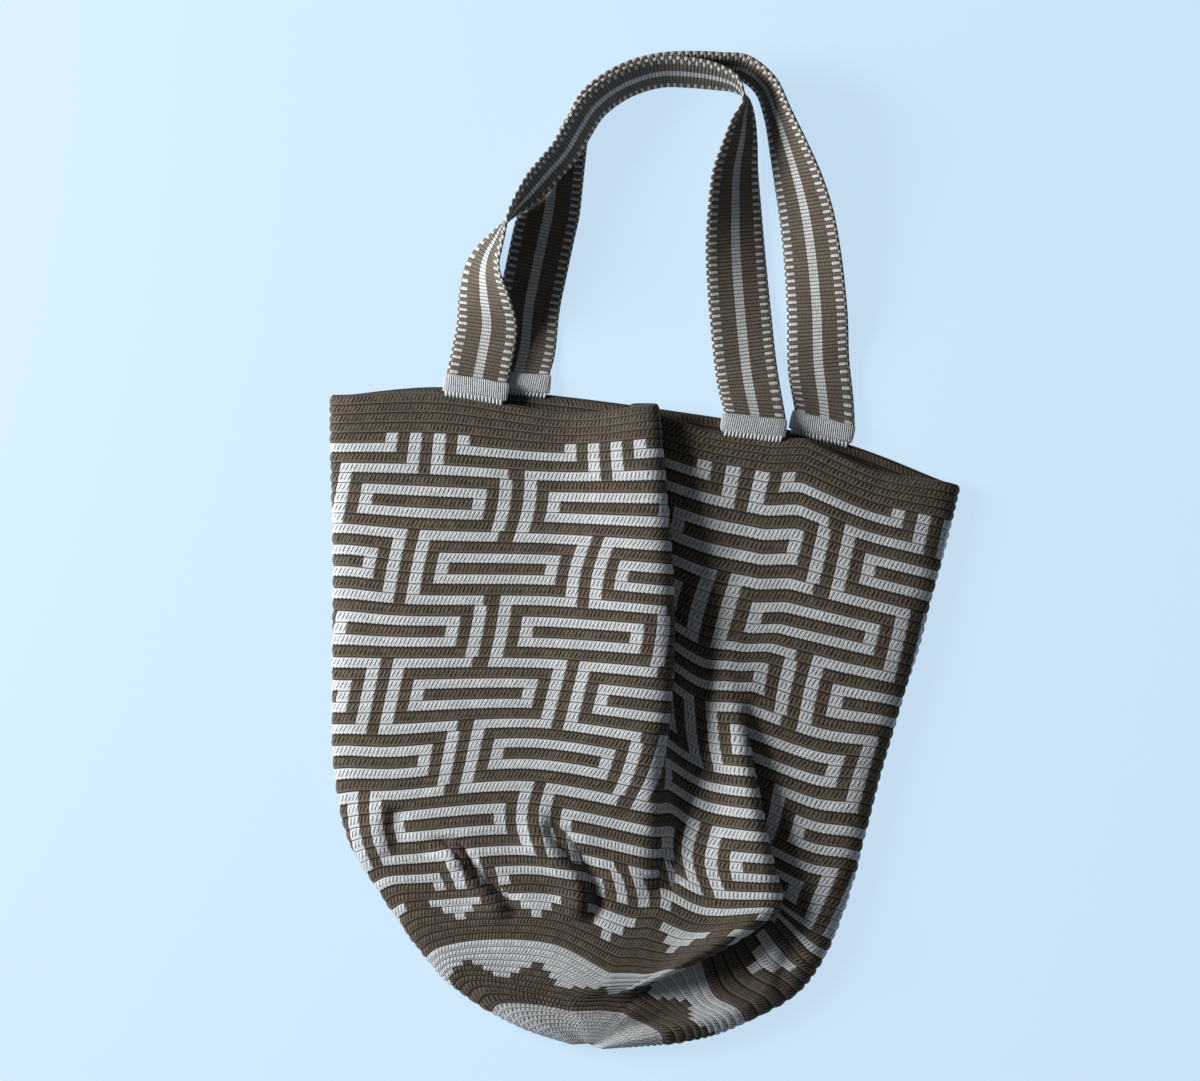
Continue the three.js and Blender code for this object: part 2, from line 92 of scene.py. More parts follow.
MIDDLE_CROWN = [
    [0, 240, 632, 1.5], [4, 236, 602, 1.9], [16.5, 220, 476, 2.8], [28.5, 205, 353, 2.9],
    [34.5, 200, 294, 2.9], [40.5, 195, 228, 2.9], [46.5, 214, 168, 2.6], [54, 222, 104, 2.6],
    [62, 235, 48, 1.8], [66, 246, 27, 1.3], [70, 257, 0, 0.6],
]
TROUGH = [
    [0, 372, 616, 1.5], [4, 374, 586, 1.4], [16.5, 372, 438, 1.0], [28.5, 368, 312, 1.0],
    [34.5, 372, 252, 1.4], [40.5, 368, 186, 2.3], [46.5, 368, 128, 2.8], [50.5, 340, 98, 2.9],
    [54, 318, 75, 2.9], [62, 272, 48, 1.9], [66, 264, 27, 1.4], [70, 257, 0, 0.6],
]
RIGHT_CROWN = [
    [0, 547, 574, 1.5], [4, 540, 544, 1.6], [16.5, 510, 414, 1.8], [28.5, 486, 278, 1.6],
    [34.5, 480, 210, 1.5], [40.5, 474, 150, 1.4], [46.5, 466, 100, 1.3], [50.5, 422, 78, 1.2],
    [54, 382, 52, 1.2], [62, 328, 30, 1.2], [66, 292, 18, 1.1], [70, 257, 0, 0.6],
]
RIGHT_EDGE = [
    [0, 624, 560, 0.75, 165], [4, 616, 526, 0.75, 165], [16.5, 582, 396, 0.8, 164],
    [28.5, 544, 270, 0.8, 165], [34.5, 527, 201, 0.8, 164], [40.5, 510, 141, 0.8, 160],
    [46.5, 485, 84, 0.8, 148], [50.5, 458, 52, 0.8, 132], [54, 412, 27, 0.8, 116],
    [62, 352, 8, 0.75, 104], [66, 306, 2, 0.7, 96], [70, 257, 0, 0.6, 90],
]
BACK_RIGHT = [
    [0, 507, 603, 0], [4, 503, 567, 0], [16.5, 478, 430, 0], [28.5, 455, 302, 0], [40.5, 425, 172, 0],
    [46.5, 400, 116, 0], [54, 344, 66, 0], [62, 305, 32, 0], [66, 283, 16, 0], [70, 257, 0, 0],
]
BACK_MIDDLE = [
    [0, 327, 636, 0], [4, 325, 600, 0], [16.5, 318, 460, 0], [28.5, 308, 334, 0], [40.5, 290, 206, 0],
    [46.5, 284, 146, 0], [54, 268, 88, 0], [62, 258, 46, 0], [66, 256, 25, 0], [70, 257, 0, 0],
]
BACK_LEFT = [
    [0, 107, 658, 0], [4, 104, 621, 0], [16.5, 94, 480, 0], [28.5, 88, 352, 0], [40.5, 98, 226, 0],
    [46.5, 118, 164, 0], [54, 158, 102, 0], [62, 200, 54, 0], [66, 226, 28, 0], [70, 257, 0, 0],
]

# Folds, [round, x, y, way, tuck, crest, foot].
PLEAT = [
    [0, 324, 641, 180, 25, 3.3, 1.1], [4, 327, 608, 180, 24, 3.8, 1.1], [16.5, 338, 466, 180, 24, 4.8, 0.9],
    [22.5, 339, 406, 180, 20, 4.9, 0.9], [28.5, 336, 340, 180, 12, 4.7, 1],
    [34.5, 327, 274, 180, -4, 4, 1.5], [40.5, 320, 205, 180, -16, 3.3, 2.1],
    [46.5, 305, 145, 180, -22, 2.8, 2.7], [54, 278, 76, 180, -12, 2.8, 2.8],
    [62, 250, 47, 180, -5, 1.9, 1.9], [66, 252, 27, 180, -3, 1.4, 1.4], [70, 257, 0, 180, 0, 0.6, 0.6],
]
SIDE_FOLD = [
    [0, 440, 606, 180, -34, 1.6, 1.6], [4, 436, 574, 180, -34, 1.6, 1.7],
    [16.5, 420, 428, 180, -30, 1.6, 1.7], [22.5, 404, 370, 180, -20, 2, 1.7],
    [28.5, 414, 306, 180, 8, 3, 1.3], [34.5, 426, 243, 180, 17, 3.5, 1.1],
    [40.5, 440, 178, 176, 22, 3.8, 1.1], [44, 447, 148, 160, 22, 3.9, 1.1],
    [46.5, 437, 133, 130, 21, 3.9, 1.1], [50.5, 390, 102, 78, 20, 3.7, 1], [54, 354, 84, 56, 17, 3.4, 1],
    [58, 316, 66, 40, 6, 2.7, 1.2], [62, 290, 46, 0, 8, 1.8, 1.6], [66, 274, 26, 0, 5, 1.4, 1.3],
    [70, 257, 0, 0, 0, 0.6, 0.6],
]

# Pattern block that lies on a line of the cloth, [round, block].
LEFT_BLOCK = [[0, -9.2], [46.5, -1.1], [54, 0], [70, 1]]
PLEAT_BLOCK = [
    [0, 19.5], [4.5, 19.8], [10.5, 20], [16.5, 22.3], [22.5, 22.8], [28.5, 23.7], [34.5, 24.2],
    [40.5, 25.8], [46.5, 23], [54, 22.5], [70, 25],
]
SIDE_BLOCK = [
    [0, 31], [4.5, 31.3], [16.5, 32.7], [22.5, 32.8], [28.5, 33.6], [34.5, 34.1], [40.5, 35.9],
    [46.5, 35.5], [54, 34], [70, 34],
]
RIGHT_BLOCK = [[0, 46], [46.5, 47], [54, 50], [70, 53.5]]
LEFT_AT, PLEAT_AT, SIDE_AT, RIGHT_AT = 1, 6, 11, 16
LINE_POINTS = 21
SAMPLES = 20


def plan_x(x):
    return (x / PLAN_WIDTH - 0.5) * MOUTH_WIDTH


def plan_y(y):
    body = y / PLAN_LENGTH * BODY_LENGTH
    handle = BODY_LENGTH + (y - PLAN_LENGTH) / PLAN_HANDLE * HANDLE_REACH
    return np.where(y < PLAN_LENGTH, body, handle) + SHIFT_Y


def layer_z(layer):
    return FABRIC / 2 + layer * (FABRIC + LAYER_AIR)


def follow(line, rounds):
    """Values of a line at some rounds, by a cubic through its points."""
    table = np.array(line, float)
    knots, values = table[:, 0], table[:, 1:]
    last = len(knots) - 1
    i = np.clip(np.searchsorted(knots, rounds, side="right") - 1, 0, last - 1)
    t0, t1 = knots[i], knots[i + 1]
    half = (t1 - t0) / 2
    first = i == 0
    final = i + 1 == last
    before = np.where(first, i + 1, i - 1)
    after = np.where(final, i, np.minimum(i + 2, last))
    w0 = np.where(first, -0.5, half / (t0 - np.where(first, t0 - 1, knots[i - 1])))
    w1 = np.where(final, -0.5, half / (np.where(final, t1 + 1, knots[np.minimum(i + 2, last)]) - t1))
    p = (rounds - t0) / (t1 - t0)
    a = w0 * (-(p ** 3) + 2 * p ** 2 - p)
    b = (1 + w0) * p ** 3 + (-1.5 - 2 * w0) * p ** 2 + (-0.5 + w0) * p + 1
    c = (-1 - w1) * p ** 3 + (1.5 + w1) * p ** 2 + 0.5 * p
    d = w1 * (p ** 3 - p ** 2)
    parts = [(a, before), (b, i), (c, i + 1), (d, after)]
    return sum(weight[:, None] * values[index] for weight, index in parts)


def place(x, y, layer):
    return np.stack([plan_x(x), plan_y(y), layer_z(layer)], -1)


def single(line, rounds):
    x, y, layer = follow(line, rounds)[:, :3].T
    return [place(x, y, layer)]


def closing(rounds):
    """1 on the side of the bag, falling to 0 at the centre of the base."""
    return np.minimum(1, (LAST_ROUND - rounds) / CLOSING_ROUNDS)


def rounded(line, rounds, side):
    """The turn of the cloth at an edge: front, nose and back."""
    x, y, layer, way = follow(line, rounds).T
    reach = EDGE_SET * closing(rounds)
    across = reach * np.cos(np.radians(way))
    along = reach * np.sin(np.radians(way))
    front = place(x + across, y + along, EDGE_TOP * layer)
    back = place(x + across, y + along, 0 * x)
    turn = [front, place(x, y, layer), back]
    return turn if side > 0 else turn[::-1]


def folded(line, rounds, before, after):
    """A fold of the cloth: crest, nose, root and toe."""
    x, y, way, tuck, crest, foot = follow(line, rounds).T
    fade = closing(rounds)
    nose = np.stack([x, y], -1)
    angle = np.radians(way)
    root = nose + tuck[:, None] * np.stack([np.cos(angle), np.sin(angle)], -1)

    def towards(start, line_to, distance):
        step = follow(line_to, rounds)[:, :2] - start
        length = np.maximum(np.linalg.norm(step, axis=1), TINY_STEP)
        return start + step * (distance * fade / length)[:, None]

    top = towards(nose, before, CREST_SET)
    toe = towards(root, after, FOOT_SET)
    return [
        place(top[:, 0], top[:, 1], crest),
        place(nose[:, 0], nose[:, 1], NOSE_SHARE * crest + (1 - NOSE_SHARE) * foot),
        place(root[:, 0], root[:, 1], (1 - NOSE_SHARE) * crest + NOSE_SHARE * foot),
        place(toe[:, 0], toe[:, 1], foot),
    ]


def net(rounds):
    """The points through which each crochet round runs."""
    rounds = np.asarray(rounds, float)
    points = rounded(LEFT_EDGE, rounds, -1) + single(LEFT_CROWN, rounds) + single(MIDDLE_CROWN, rounds)
    points += folded(PLEAT, rounds, MIDDLE_CROWN, TROUGH) + single(TROUGH, rounds)
    points += folded(SIDE_FOLD, rounds, TROUGH, RIGHT_CROWN) + single(RIGHT_CROWN, rounds)
    points += rounded(RIGHT_EDGE, rounds, 1) + single(BACK_RIGHT, rounds)
    points += single(BACK_MIDDLE, rounds) + single(BACK_LEFT, rounds)
    return np.stack(points, 1)


def spline(p0, p1, p2, p3, t, even):
    """A point on the curve between p1 and p2, as the solid part's curves run."""
    if even:
        t1, t2 = 0.5 * (p2 - p0), 0.5 * (p3 - p1)
    else:
        pairs = ((p0, p1), (p1, p2), (p2, p3))
        gaps = [np.linalg.norm(b - a, axis=-1, keepdims=True) ** 0.5 for a, b in pairs]
        d1 = np.where(gaps[1] < TINY_GAP, 1.0, gaps[1])
        d0 = np.where(gaps[0] < TINY_GAP, d1, gaps[0])
        d2 = np.where(gaps[2] < TINY_GAP, d1, gaps[2])
        t1 = ((p1 - p0) / d0 - (p2 - p0) / (d0 + d1) + (p2 - p1) / d1) * d1
        t2 = ((p2 - p1) / d1 - (p3 - p1) / (d1 + d2) + (p3 - p2) / d2) * d1
    c2 = -3 * p1 + 3 * p2 - 2 * t1 - t2
    c3 = 2 * p1 - 2 * p2 + t1 + t2
    return p1 + t1 * t + c2 * t ** 2 + c3 * t ** 3


def round_points(points, share):
    """Places on closed rounds, where share counts lines from the first."""
    segment = np.floor(share).astype(int)
    around = [points[:, (segment + k) % LINE_POINTS] for k in (-1, 0, 1, 2)]
    p = spline(*around, (share - segment)[None, :, None], False)
    p[..., 2] = np.maximum(p[..., 2], FABRIC / 2)
    return p


def cloth_grid(rounds, blocks):
    """Mid-surface of the cloth at the given rounds and pattern blocks."""
    rounds = np.asarray(rounds, float)
    share = LEFT_AT + np.arange(LINE_POINTS * SAMPLES + 1) / SAMPLES
    dense = round_points(net(rounds), share)
    steps = np.linalg.norm(np.diff(dense, axis=1), axis=2)
    length = np.concatenate([np.zeros((len(rounds), 1)), np.cumsum(steps, 1)], 1)
    anchors = [(at - LEFT_AT) * SAMPLES for at in (LEFT_AT, PLEAT_AT, SIDE_AT, RIGHT_AT)]
    anchors.append(LINE_POINTS * SAMPLES)
    marks = [follow(line, rounds)[:, 0] for line in (LEFT_BLOCK, PLEAT_BLOCK, SIDE_BLOCK, RIGHT_BLOCK)]
    marks.append(marks[0] + BLOCKS_ROUND)
    grid = np.empty((len(rounds), len(blocks), 3))
    for i in range(len(rounds)):
        known = [mark[i] for mark in marks]
        block = np.interp(length[i], length[i, anchors], known)
        wanted = (np.asarray(blocks) - known[0]) % BLOCKS_ROUND + known[0]
        for axis in range(3):
            grid[i, :, axis] = np.interp(wanted, block, dense[i, :, axis])
    return grid


def unit(v):
    return v / np.maximum(np.linalg.norm(v, axis=-1, keepdims=True), TINY_LENGTH)


def grid_normals(grid):
    """Outward normals of a closed grid of rounds."""
    across = np.roll(grid, -1, 1) - np.roll(grid, 1, 1)
    down = np.gradient(grid, axis=0)
    return unit(np.cross(down, across))


# Creases of the front: paths in plan squares, and in millimetres the rise of the ridge,
# the depth of the hollow on its right and their width.
CREASES = [
    {"path": [[92, 203], [117, 191], [130, 176], [142, 164], [154, 153], [167, 143], [184, 135]],
     "rise": 5.4, "hollow": 5.0, "width": 3.8},
    {"path": [[210, 252], [207, 211], [216, 200], [228, 186],
              [241, 171], [247, 156], [247, 141], [240, 124]],
     "rise": 6.0, "hollow": 6.0, "width": 5.5},
    {"path": [[56, 251], [45, 221], [55, 191]], "rise": 2.6, "hollow": 1.4, "width": 6.5},
    {"path": [[320, 330], [322, 250], [316, 190], [306, 150]], "rise": 2.0, "hollow": 3.0, "width": 8.0},
    {"path": [[446, 116], [440, 91], [435, 71], [437, 46]], "rise": 1.6, "hollow": 1.6, "width": 5.0},
]
CREASE_POINTS = 60
CREASE_FADE = 0.22
CREASE_END = 6.0
CREASE_MARGIN = 2.5
STEEP_SIDE = 0.8
SLOW_SIDE = 1.8
HOLLOW_AT = 1.7


def smooth(share):
    """An even start and end for a share from 0 to 1."""
    return share * share * (3 - 2 * share)


def crease_lift(grid, crease):
    """Height that one crease adds over the plan of the cloth."""
    path = np.array(crease["path"], float)
    fine = open_curve(path, np.linspace(0, 1, CREASE_POINTS))
    line = np.stack([plan_x(fine[:, 0]), plan_y(fine[:, 1])], 1)
    way = unit(np.gradient(line, axis=0))
    flat = grid[..., :2].reshape(-1, 2)
    gap = flat[:, None] - line[None]
    nearest = np.argmin((gap ** 2).sum(2), 1)
    gap = gap[np.arange(len(flat)), nearest]
    tangent = way[nearest]
    side = tangent[:, 0] * gap[:, 1] - tangent[:, 1] * gap[:, 0]
    beyond = np.abs((tangent * gap).sum(1))
    share = nearest / (CREASE_POINTS - 1)
    fade = smooth(np.minimum(1, np.minimum(share, 1 - share) / CREASE_FADE))
    fade = fade * np.exp(-((beyond / CREASE_END) ** 2))
    width = crease["width"]
    slope = np.where(side > 0, STEEP_SIDE * width, SLOW_SIDE * width)
    lift = crease["rise"] * np.exp(-((side / slope) ** 2))
    lift -= crease["hollow"] * np.exp(-(((side - HOLLOW_AT * width) / width) ** 2))
    return (lift * fade).reshape(grid.shape[:-1])


def add_creases(grid, rounds, blocks):
    """Lifts the front layer along its creases."""
    first, last = (follow(line, rounds)[:, :1] for line in (LEFT_BLOCK, RIGHT_BLOCK))
    at = (blocks[None] - first) % BLOCKS_ROUND
    inside = np.minimum(at, (last - first) - at) / CREASE_MARGIN
    front = np.clip(inside, 0, 1)
    for crease in CREASES:
        grid[..., 2] += crease_lift(grid, crease) * front
    grid[..., 2] = np.maximum(grid[..., 2], FABRIC / 2)


def new_object(name, vertices, faces, material, smooth=True):
    """A mesh piece in the row frame, from millimetres."""
    mesh = bpy.data.meshes.new(name)
    mesh.from_pydata((np.asarray(vertices) * MM).tolist(), [], faces)
    mesh.materials.append(material)
    mesh.polygons.foreach_set("use_smooth", [smooth] * len(mesh.polygons))
    piece = bpy.data.objects.new(name, mesh)
    bpy.context.scene.collection.objects.link(piece)
    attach(piece, "root")
    return piece


def set_uv(mesh, corners):
    layer = mesh.uv_layers.new(name="gauge")
    layer.data.foreach_set("uv", np.asarray(corners, np.float32).ravel())


def set_face_value(mesh, name, values):
    attribute = mesh.attributes.new(name, "FLOAT", "FACE")
    attribute.data.foreach_set("value", np.asarray(values, np.float32))


def ring_quads(rings, count):
    """Ring and place of each quad between rings of points, and its corners."""
    ring, k = np.meshgrid(np.arange(rings - 1), np.arange(count), indexing="ij")
    ring, k = ring.ravel(), k.ravel()
    after = (k + 1) % count
    low, high = ring * count, (ring + 1) * count
    return ring, k, np.stack([low + k, low + after, high + after, high + k], 1)


def corner_uv(left, right, low, high):
    """Gauge at the four corners of each quad."""
    corners = ((left, low), (right, low), (right, high), (left, high))
    return np.stack([np.stack(c, -1) for c in corners], 1).reshape(-1, 2)


# The side, in rounds and blocks: nested bricks under a plain rim.
RIM_ROUNDS = 4
BRICK_ROUNDS = 6
BRICK_BLOCKS = 15
BRICK_SHIFT = 7 + 1 / 3
BAR_FROM, BAR_TO = 6, 7
CORE_FROM, CORE_TO = 4, 5
BAND_FROM = 0.5

# The base, in rounds past the side: where each kind of ring ends.
PLAIN_END, TRIANGLES_END, DARK_END, PALE_END, TEETH_END, CENTRE_FROM = 1, 4, 7, 10, 14, 17
TRIANGLE_MIDDLE = 5.6
TRIANGLE_PERIOD = 7.5
TRIANGLE_HALF = 3.5
TOOTH_MIDDLE = 4.6
TOOTH_PERIOD = BLOCKS_ROUND / 11
TOOTH_TIP = 0.08
TOOTH_STEP = 0.14


def repeat(block, middle, period):
    """Distance from the nearest of a row of middles."""
    return np.abs((block - middle + period / 2) % period - period / 2)


def meander(block, row):
    """1 where the side of the bag is pale: nested bricks, each row set half a brick over."""
    n = np.round((row - RIM_ROUNDS) / BRICK_ROUNDS)
    r = np.abs(row - RIM_ROUNDS - BRICK_ROUNDS * n)
    middle = np.where(n % 2 == 1, 0.0, BRICK_SHIFT)
    dx = repeat(block, middle, BRICK_BLOCKS)
    bar = ((dx > BAR_FROM) & (dx < BAR_TO)) * 1.0
    core = np.where((dx > CORE_FROM) & (dx < CORE_TO), 1.0, bar)
    cover = np.where(dx < CORE_TO, 1.0, bar)
    band = ((dx > BAND_FROM) & (dx < BAR_TO)) * 1.0
    pale = np.select([r == 0, r == 1, r == 2], [core, cover, bar], band)
    return np.where(row < RIM_ROUNDS, 0.0, pale)


def base_rings(block, row):
    """1 where the base is pale: stepped triangles, plain rings and a ring of stepped teeth."""
    ring = row - SIDE_ROUNDS
    dark, pale = 0 * block, 1 + 0 * block
    triangle = repeat(block, TRIANGLE_MIDDLE, TRIANGLE_PERIOD) < TRIANGLE_HALF - ring
    tooth = repeat(block, TOOTH_MIDDLE, TOOTH_PERIOD) / TOOTH_PERIOD
    teeth = tooth > TOOTH_TIP + TOOTH_STEP * (ring - PALE_END)
    ends = (PLAIN_END, TRIANGLES_END, DARK_END, PALE_END, TEETH_END, CENTRE_FROM)
    kinds = [dark, triangle, dark, pale, teeth, dark]
    return np.select([ring < end for end in ends], kinds, 1.0) * 1.0


def pattern(block, row):
    return np.where(row < SIDE_ROUNDS, meander(block, row), base_rings(block, row))


# Rounds near the centre of the base, where the cloth has finer rounds and softer folds.
FINE_FROM = 64.0
SOFT_FROM = 63.0
SOFT_COLUMNS = 9.0
LEAST_STITCHES = 0.22
POLE_FROM, POLE_SPAN = 65.5, 3.5
POLE_WAY = np.array([0, -1, 0.35])
OUTER_END = 69
SWELL_END, SWELL_SPAN, SWELL_LEAST = 68.5, 4, 0.15
CENTRE_GAUGE = (0.5, 69.2)

# Relief of the rounds and the make of the rim, and the rows that the inner skin keeps.
ROUND_RIDGE = 0.8
RIDGE_ROUND = 0.7
RIDGE_MIDDLE = 0.5
LIP_RISE = 0.9
INNER_SHARE = 0.8
INNER_ROWS = [0, 2, 6, 10, 16, 24, 36, 48, 64, 80, 96, 112, 136, 160, 184, 208, 228, 248, 260]
ROW_SLACK = 0.01


def stitches_in(row):
    """How many stitches one round of the bag has: fewer towards the centre of the base."""
    share = np.clip((LAST_ROUND - row - 0.5) / BASE_ROUNDS, LEAST_STITCHES, 1)
    return np.round(COLUMNS * share)


def worked(rounds):
    """Rounds as worked: two to a step of the grid near the centre of the base."""
    return rounds + np.maximum(0, rounds - FINE_FROM)


def ridge(rounds):
    """Height of a round's ridge, low in the groove between rounds."""
    wave = np.abs(np.sin(np.pi * worked(rounds)))
    return ROUND_RIDGE * (wave ** RIDGE_ROUND - RIDGE_MIDDLE)


def soften_centre(grid, rounds):
    """Eases the folds where the rounds close in on the centre of the base."""
    share = np.clip((rounds - SOFT_FROM) / (LAST_ROUND - SOFT_FROM), 0, 1)
    wave = np.fft.rfft(grid, axis=1)
    turn = np.arange(wave.shape[1]) * 2 * math.pi / COLUMNS
    damp = np.exp(-0.5 * (share[:, None] * SOFT_COLUMNS * turn[None]) ** 2)
    grid[:] = np.fft.irfft(wave * damp[..., None], COLUMNS, axis=1)
    grid[..., 2] = np.maximum(grid[..., 2], FABRIC / 2)


def body_skins():
    """Rings of the cloth: up the outside, over the rim and down the inside, with both centres."""
    blocks = np.arange(COLUMNS) / STITCHES_PER_BLOCK
    rounds = np.arange(0, OUTER_END * ROWS_PER_ROUND + 1) / ROWS_PER_ROUND
    mid = cloth_grid(rounds, blocks)
    add_creases(mid, rounds, blocks)
    soften_centre(mid, rounds)
    normals = grid_normals(mid)
    near_pole = np.clip((rounds - POLE_FROM) / POLE_SPAN, 0, 1)[:, None, None]
    normals = unit(normals * (1 - near_pole) + POLE_WAY * near_pole)
    swell = ridge(rounds) * np.clip((SWELL_END - rounds) / SWELL_SPAN, SWELL_LEAST, 1)
    outer = mid + normals * (FABRIC / 2 + swell)[:, None, None]
    outer[..., 2] = np.maximum(outer[..., 2], GROUND_GAP)
    lip = mid[0] + unit(mid[0] - mid[2]) * LIP_RISE
    inner = mid[INNER_ROWS] - normals[INNER_ROWS] * FABRIC / 2 * INNER_SHARE
    rings = np.concatenate([outer[::-1], lip[None], inner])
    rows = np.concatenate([rounds[::-1], [0], rounds[INNER_ROWS]])
    centres = [mid[-1].mean(0) + np.array([0, -FABRIC / 3, 0]), inner[-1].mean(0)]
    return rings, rows, centres


def build_body(material):
    """The crocheted body: a fine outer skin, a rim, and a coarser inner skin."""
    rings, rows, centres = body_skins()
    ring, column, quads = ring_quads(len(rings), COLUMNS)
    vertices = np.concatenate([rings.reshape(-1, 3), centres])
    top = len(rings) * COLUMNS
    last = top - COLUMNS
    faces = quads.tolist()
    faces += [[top, (k + 1) % COLUMNS, k] for k in range(COLUMNS)]
    faces += [[last + k, last + (k + 1) % COLUMNS, top + 1] for k in range(COLUMNS)]
    piece = new_object("crochet_body", vertices, faces, material)

    v0, v1 = rows[ring], rows[ring + 1]
    row = np.floor(np.minimum(v0, v1) + ROW_SLACK)
    count = stitches_in(row)
    s0, s1 = column / COLUMNS * count, (column + 1) / COLUMNS * count
    caps = np.ones(2 * COLUMNS)
    cap_uv = np.tile(CENTRE_GAUGE, (3 * len(caps), 1))
    set_uv(piece.data, np.concatenate([corner_uv(s0, s1, worked(v0), worked(v1)), cap_uv]))
    block = (column + 0.5) / STITCHES_PER_BLOCK
    set_face_value(piece.data, "pale", np.concatenate([pattern(block, row), caps]))
    set_face_value(piece.data, "pale_below", np.concatenate([pattern(block, row + 1), caps]))
    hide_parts("bag_body")
    return piece


# Strap paths along the foot edge, [x, y, lift, rise, flat, way], as on the solid part.
ARCH_WAY = 138
BEND = 9.0
FRONT_STATIONS = [
    [119, 696, 6, 4, 0], [124, 722, 3.8, 10, 0], [127, 756, 3.2, 34, 0], [134, 784, 3, 50, 0],
    [146, 801, 3, 63, 0], [158, 812, 3, 73, 0], [180, 830, 3, 94, 0], [208, 848, 3, 112, 0],
    [225, 866, 3, 114, 0], [242, 885, 3, 115, 0], [256, 908, 3, 115, 0], [271, 931, 2, 115, 0],
    [297, 950, 0.8, 115, 0], [328, 960, 0.4, 115, 0], [357, 960, 0.3, 114, 0], [382, 958, 0.3, 110, 0],
    [401, 956, 0.3, 100, 0], [414, 949, 0.3, 84, 0], [421, 931, 0.3, 68, 0], [424, 906, 0.3, 56, 0],
    [425, 876, 0.3, 42, 0], [428, 841, 0.3, 30, 0], [432, 796, 0.3, 16, 0], [438, 736, 0.8, 5, 0],
    [444, 680, 4, 0, 0],
]
REAR_STATIONS = [
    [222, 691, 0.8, 65, 1, ARCH_WAY], [227, 736, 0.3, 65, 1, ARCH_WAY],
    [234, 771, 0.3, 65, 1, ARCH_WAY], [241, 804, 0.3, 65, 1, ARCH_WAY],
    [247, 832, 0.3, 65, 0.83, ARCH_WAY], [249, 850, 0.3, 65, 0.67, ARCH_WAY],
    [251, 869, 0.3, 65, 0.5, ARCH_WAY], [253, 888, 0.3, 65, 0.33, ARCH_WAY],
    [256, 909, 0.3, 65, 0.17, ARCH_WAY],
    [269, 940, 0.3, 69, 0], [294, 958, 0.3, 70, 0], [326, 968, 0.3, 70, 0], [357, 970, 0.3, 70, 0],
    [384, 969, 0.3, 70, 0], [407, 967, 0.3, 70, 0], [423, 954, 0.3, 70, 0], [432, 928, 0.3, 66, 0],
    [437, 896, 0.3, 54, 0], [442, 861, 0.3, 41, 0], [447, 826, 0.3, 31, 0], [451, 786, 0.3, 24, 0],
    [454, 736, 0.3, 16, 0], [455, 676, 0.8, 4, 0],
]
FRONT_LEFT, FRONT_RIGHT, BACK = (2, 4), (9, 14), (17, 20)
FRONT_FEET = (111, 450)
REAR_FEET = (215, 456)
MOUTH = net([0.0])
MOUTH_SAMPLES = 600
EDGE_SAMPLES = 11
LEAD = WRAP_LENGTH + 1
PATH_STEP = 1e-4
UP = np.array([0.0, 0.0, 1.0])


def mouth_point(x, stretch):
    """The place with this x on a stretch of the edge of the mouth."""
    share = np.linspace(stretch[0], stretch[1], MOUTH_SAMPLES)
    p = round_points(MOUTH, share)[0]
    order = np.argsort(p[:, 0])
    return np.array([np.interp(x, p[order, 0], p[order, k]) for k in range(3)])


class SewnEnd:
    """A strap end at the mouth: its foot corner and the ways along, across and up."""

    def __init__(self, foot_x, side, stretch):
        self.foot_x, self.side, self.stretch = plan_x(foot_x), side, stretch
        foot = self.edge(0)
        self.width = unit(self.edge(1) - foot)
        self.away = unit(np.array([-self.width[1], self.width[0], 0]) * side)
        self.up = unit(np.cross(self.width, self.away) * side)
        shares = np.linspace(0, 1, EDGE_SAMPLES)
        swell = max((self.edge(share) - foot) @ self.away for share in shares)
        self.foot = foot + self.away * (SEAM_GAP + swell)
        wrap_half = STRAP_THICKNESS / 2 + CLEARANCE + WRAP_WALL
        self.foot[2] = max(self.foot[2], wrap_half + CLEARANCE)

    def edge(self, share):
        return mouth_point(self.foot_x + self.side * share * STRAP_WIDTH, self.stretch)

    def at(self, along, across=0.0, up=0.0):
        return self.foot + self.away * along + self.width * across + self.up * up


def open_curve(points, t, even=False):
    """Places on an open curve, t from 0 to 1 counting its points evenly."""
    p = np.asarray(points, float)
    full = np.concatenate([[2 * p[0] - p[1]], p, [2 * p[-1] - p[-2]]])
    at = np.clip(np.asarray(t, float), 0, 1) * (len(p) - 1)
    k = np.minimum(at.astype(int), len(p) - 2)
    return spline(full[k], full[k + 1], full[k + 2], full[k + 3], (at - k)[:, None], even)


def strap_frames(stations, first, last, inward, t):
    """Foot points, directions and flat shares along a strap."""
    half = STRAP_THICKNESS / 2
    path = [[plan_x(s[0]), float(plan_y(np.array(s[1]))), s[2] + half] for s in stations]
    feet = np.array([first.at(LEAD), *path, last.at(LEAD)])
    knots = np.arange(len(feet)) / (len(feet) - 1)

    def direction(at):
        return unit(open_curve(feet, at + PATH_STEP) - open_curve(feet, at - PATH_STEP))

    tangent = direction(knots)
    square = unit(np.stack([tangent[:, 1], -tangent[:, 0], 0 * tangent[:, 0]], 1)) * inward
    square[0], square[-1] = first.width, last.width
    widths = square.copy()
    for i, station in enumerate(stations, 1):
        turned = square[i]
        if len(station) > 5:
            way = math.radians(station[5])
            turned = np.array([math.cos(way), math.sin(way), 0])
        rise = math.radians(station[3])
        widths[i] = turned * math.cos(rise) + UP * math.sin(rise)
    flats = [stations[0][4]] + [s[4] for s in stations] + [0]
    flat_way = unit(open_curve(square, t, True))
    width = unit(open_curve(widths, t, True))
    return open_curve(feet, t), direction(t), flat_way, width, np.interp(t, knots, flats)


